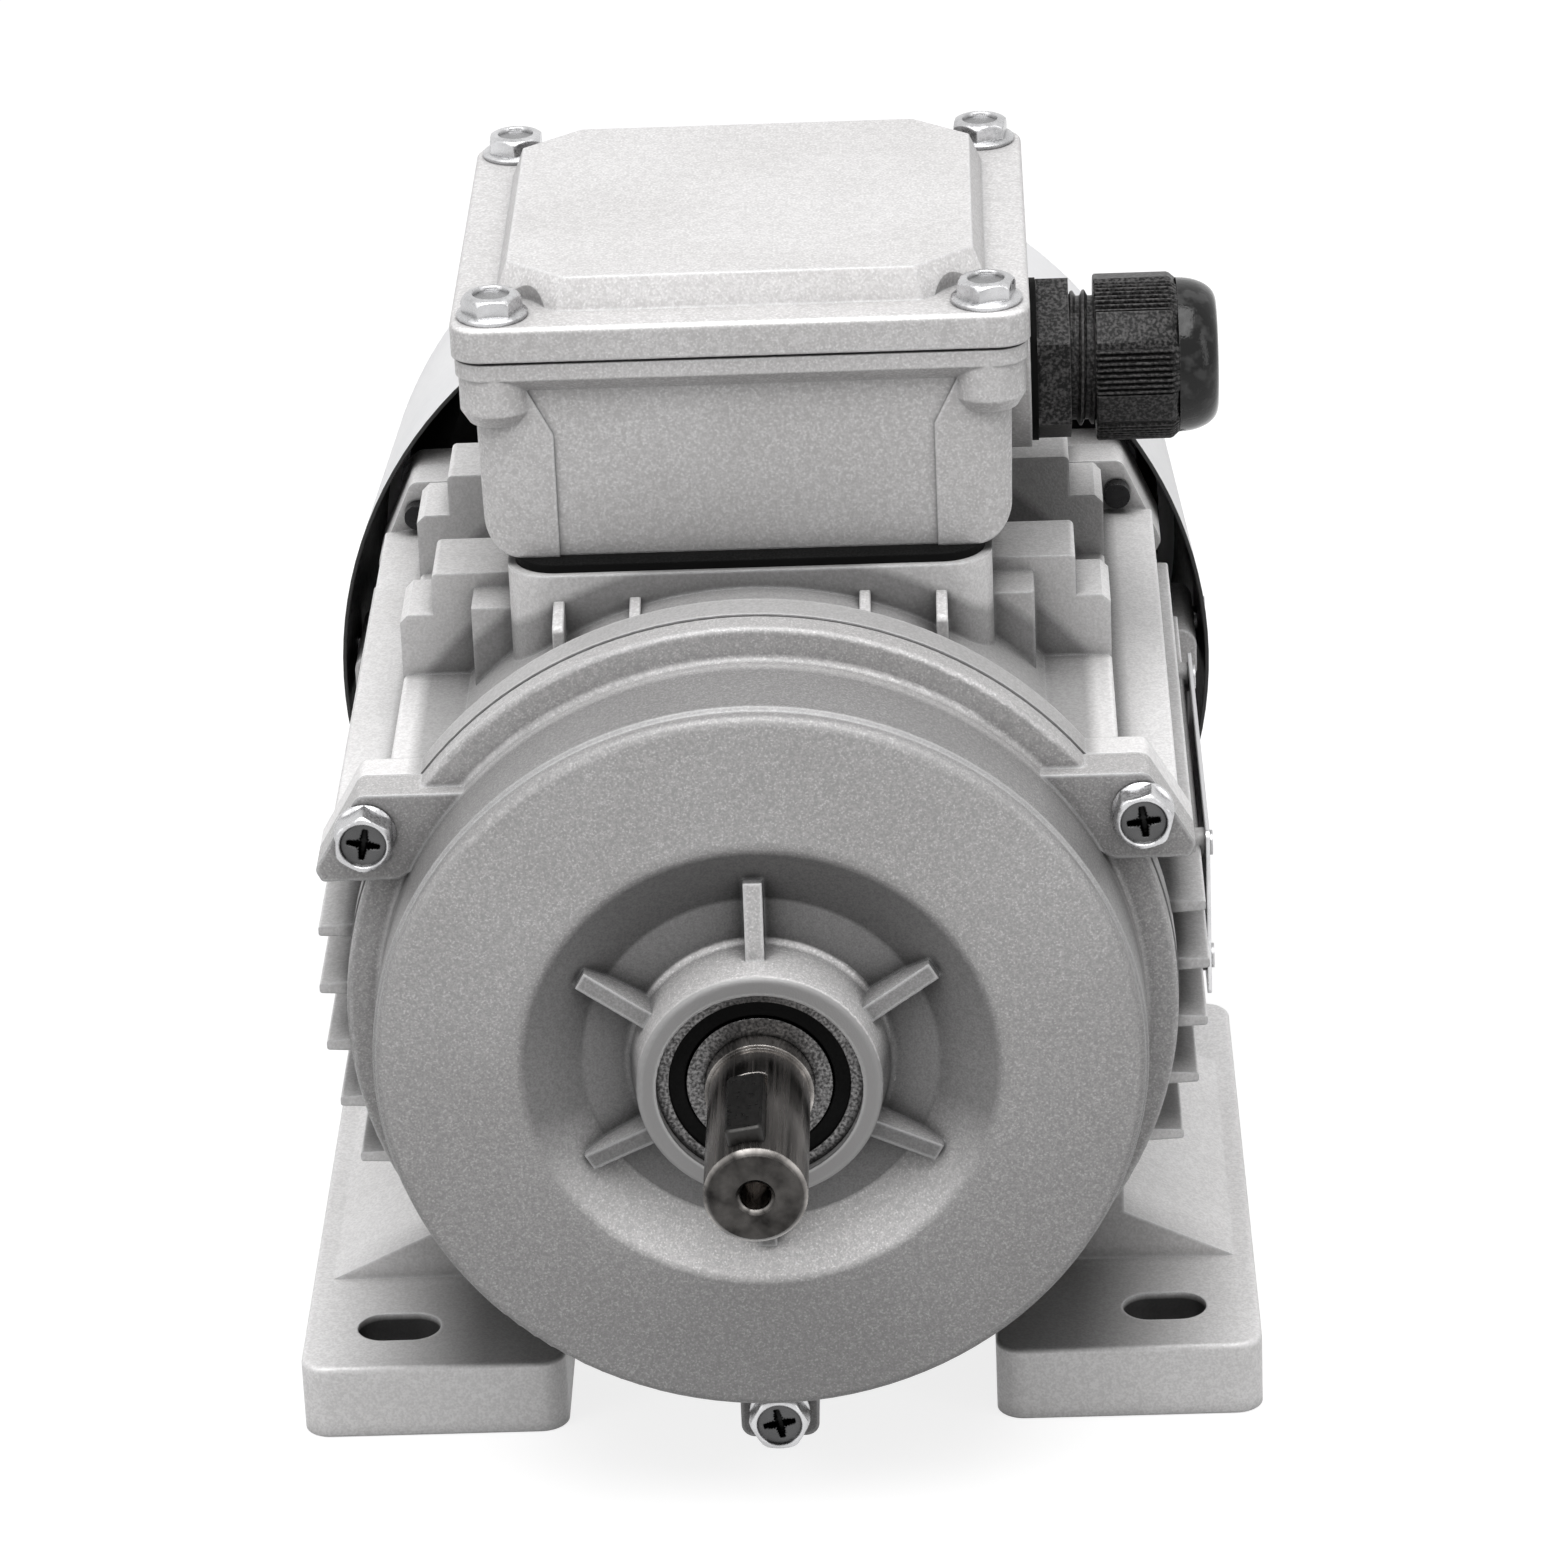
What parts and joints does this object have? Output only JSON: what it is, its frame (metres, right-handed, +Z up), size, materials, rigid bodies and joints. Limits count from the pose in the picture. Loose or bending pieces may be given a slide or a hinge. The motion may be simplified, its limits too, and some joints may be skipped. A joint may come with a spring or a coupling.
{
  "type": "three-phase electric motor",
  "caption": "Foot-mounted three-phase electric motor with a keyed shaft end, finned aluminium frame, top terminal box with side cable gland, and a rear fan cover.",
  "frame": {"origin": "middle of the four foot holes, in the plane the feet stand on", "axes": "+X to the cable gland, +Y from the shaft end to the fan, +Z up"},
  "size_m": [0.1396, 0.236, 0.1688],
  "materials": {
    "cast_aluminium": "sand-cast, bare, fine sparkling grain",
    "zinc_steel": "bright zinc plated",
    "black_steel": "black oxide",
    "plate_metal": "plain sheet",
    "core_steel": "stacked electrical sheet",
    "cage_aluminium": "die-cast",
    "winding": "enamelled copper wire, varnished",
    "rubber": "matt black",
    "block_moulding": "thermoset moulding",
    "brass": "plain turned and stamped",
    "gland_nylon": "black polyamide, satin",
    "cover_paint": "pale grey paint outside, dark inside",
    "fan_plastic": "black moulding",
    "bearing_steel": "ground",
    "shaft_steel": "turned and ground"
  },
  "bodies": {
    "housing": {"box_gasket": "rubber", "box_screws": "zinc_steel", "drive_bearing_outer": "bearing_steel", "drive_bearing_seals": "rubber", "drive_end_screws": "zinc_steel", "drive_end_shield": "cast_aluminium", "earth_screw": "zinc_steel", "fan_cover": "cover_paint", "fan_cover_screws": "zinc_steel", "foot_left": "cast_aluminium", "foot_right": "cast_aluminium", "foot_screws": "zinc_steel", "gland_body": "gland_nylon", "gland_nut": "gland_nylon", "gland_seal": "rubber", "gland_washer": "rubber", "lid_gasket": "rubber", "lid_screws": "zinc_steel", "plate_rivets": "plate_metal", "rating_plate": "plate_metal", "rear_bearing_outer": "bearing_steel", "rear_bearing_seals": "rubber", "rear_end_screws": "black_steel", "rear_end_shield": "cast_aluminium", "stator_core": "core_steel", "stator_frame": "cast_aluminium", "terminal_block": "block_moulding", "terminal_box": "cast_aluminium", "terminal_box_lid": "cast_aluminium", "terminal_links": "brass", "terminal_nuts": "brass", "terminal_studs": "brass", "wave_washer": "bearing_steel", "winding_front": "winding", "winding_rear": "winding"},
    "rotor": {"cooling_fan": "fan_plastic", "drive_bearing_inner": "bearing_steel", "fan_retaining_ring": "bearing_steel", "rear_bearing_inner": "bearing_steel", "rotor_cage": "cage_aluminium", "rotor_core": "core_steel", "shaft": "shaft_steel", "shaft_key": "shaft_steel"}
  },
  "joints": [
    {"name": "rotor_spin", "type": "hinge", "parent": "housing", "child": "rotor", "pos_m": [0, 0, 0.071], "axis": [0, -1, 0], "continuous": true}
  ]
}
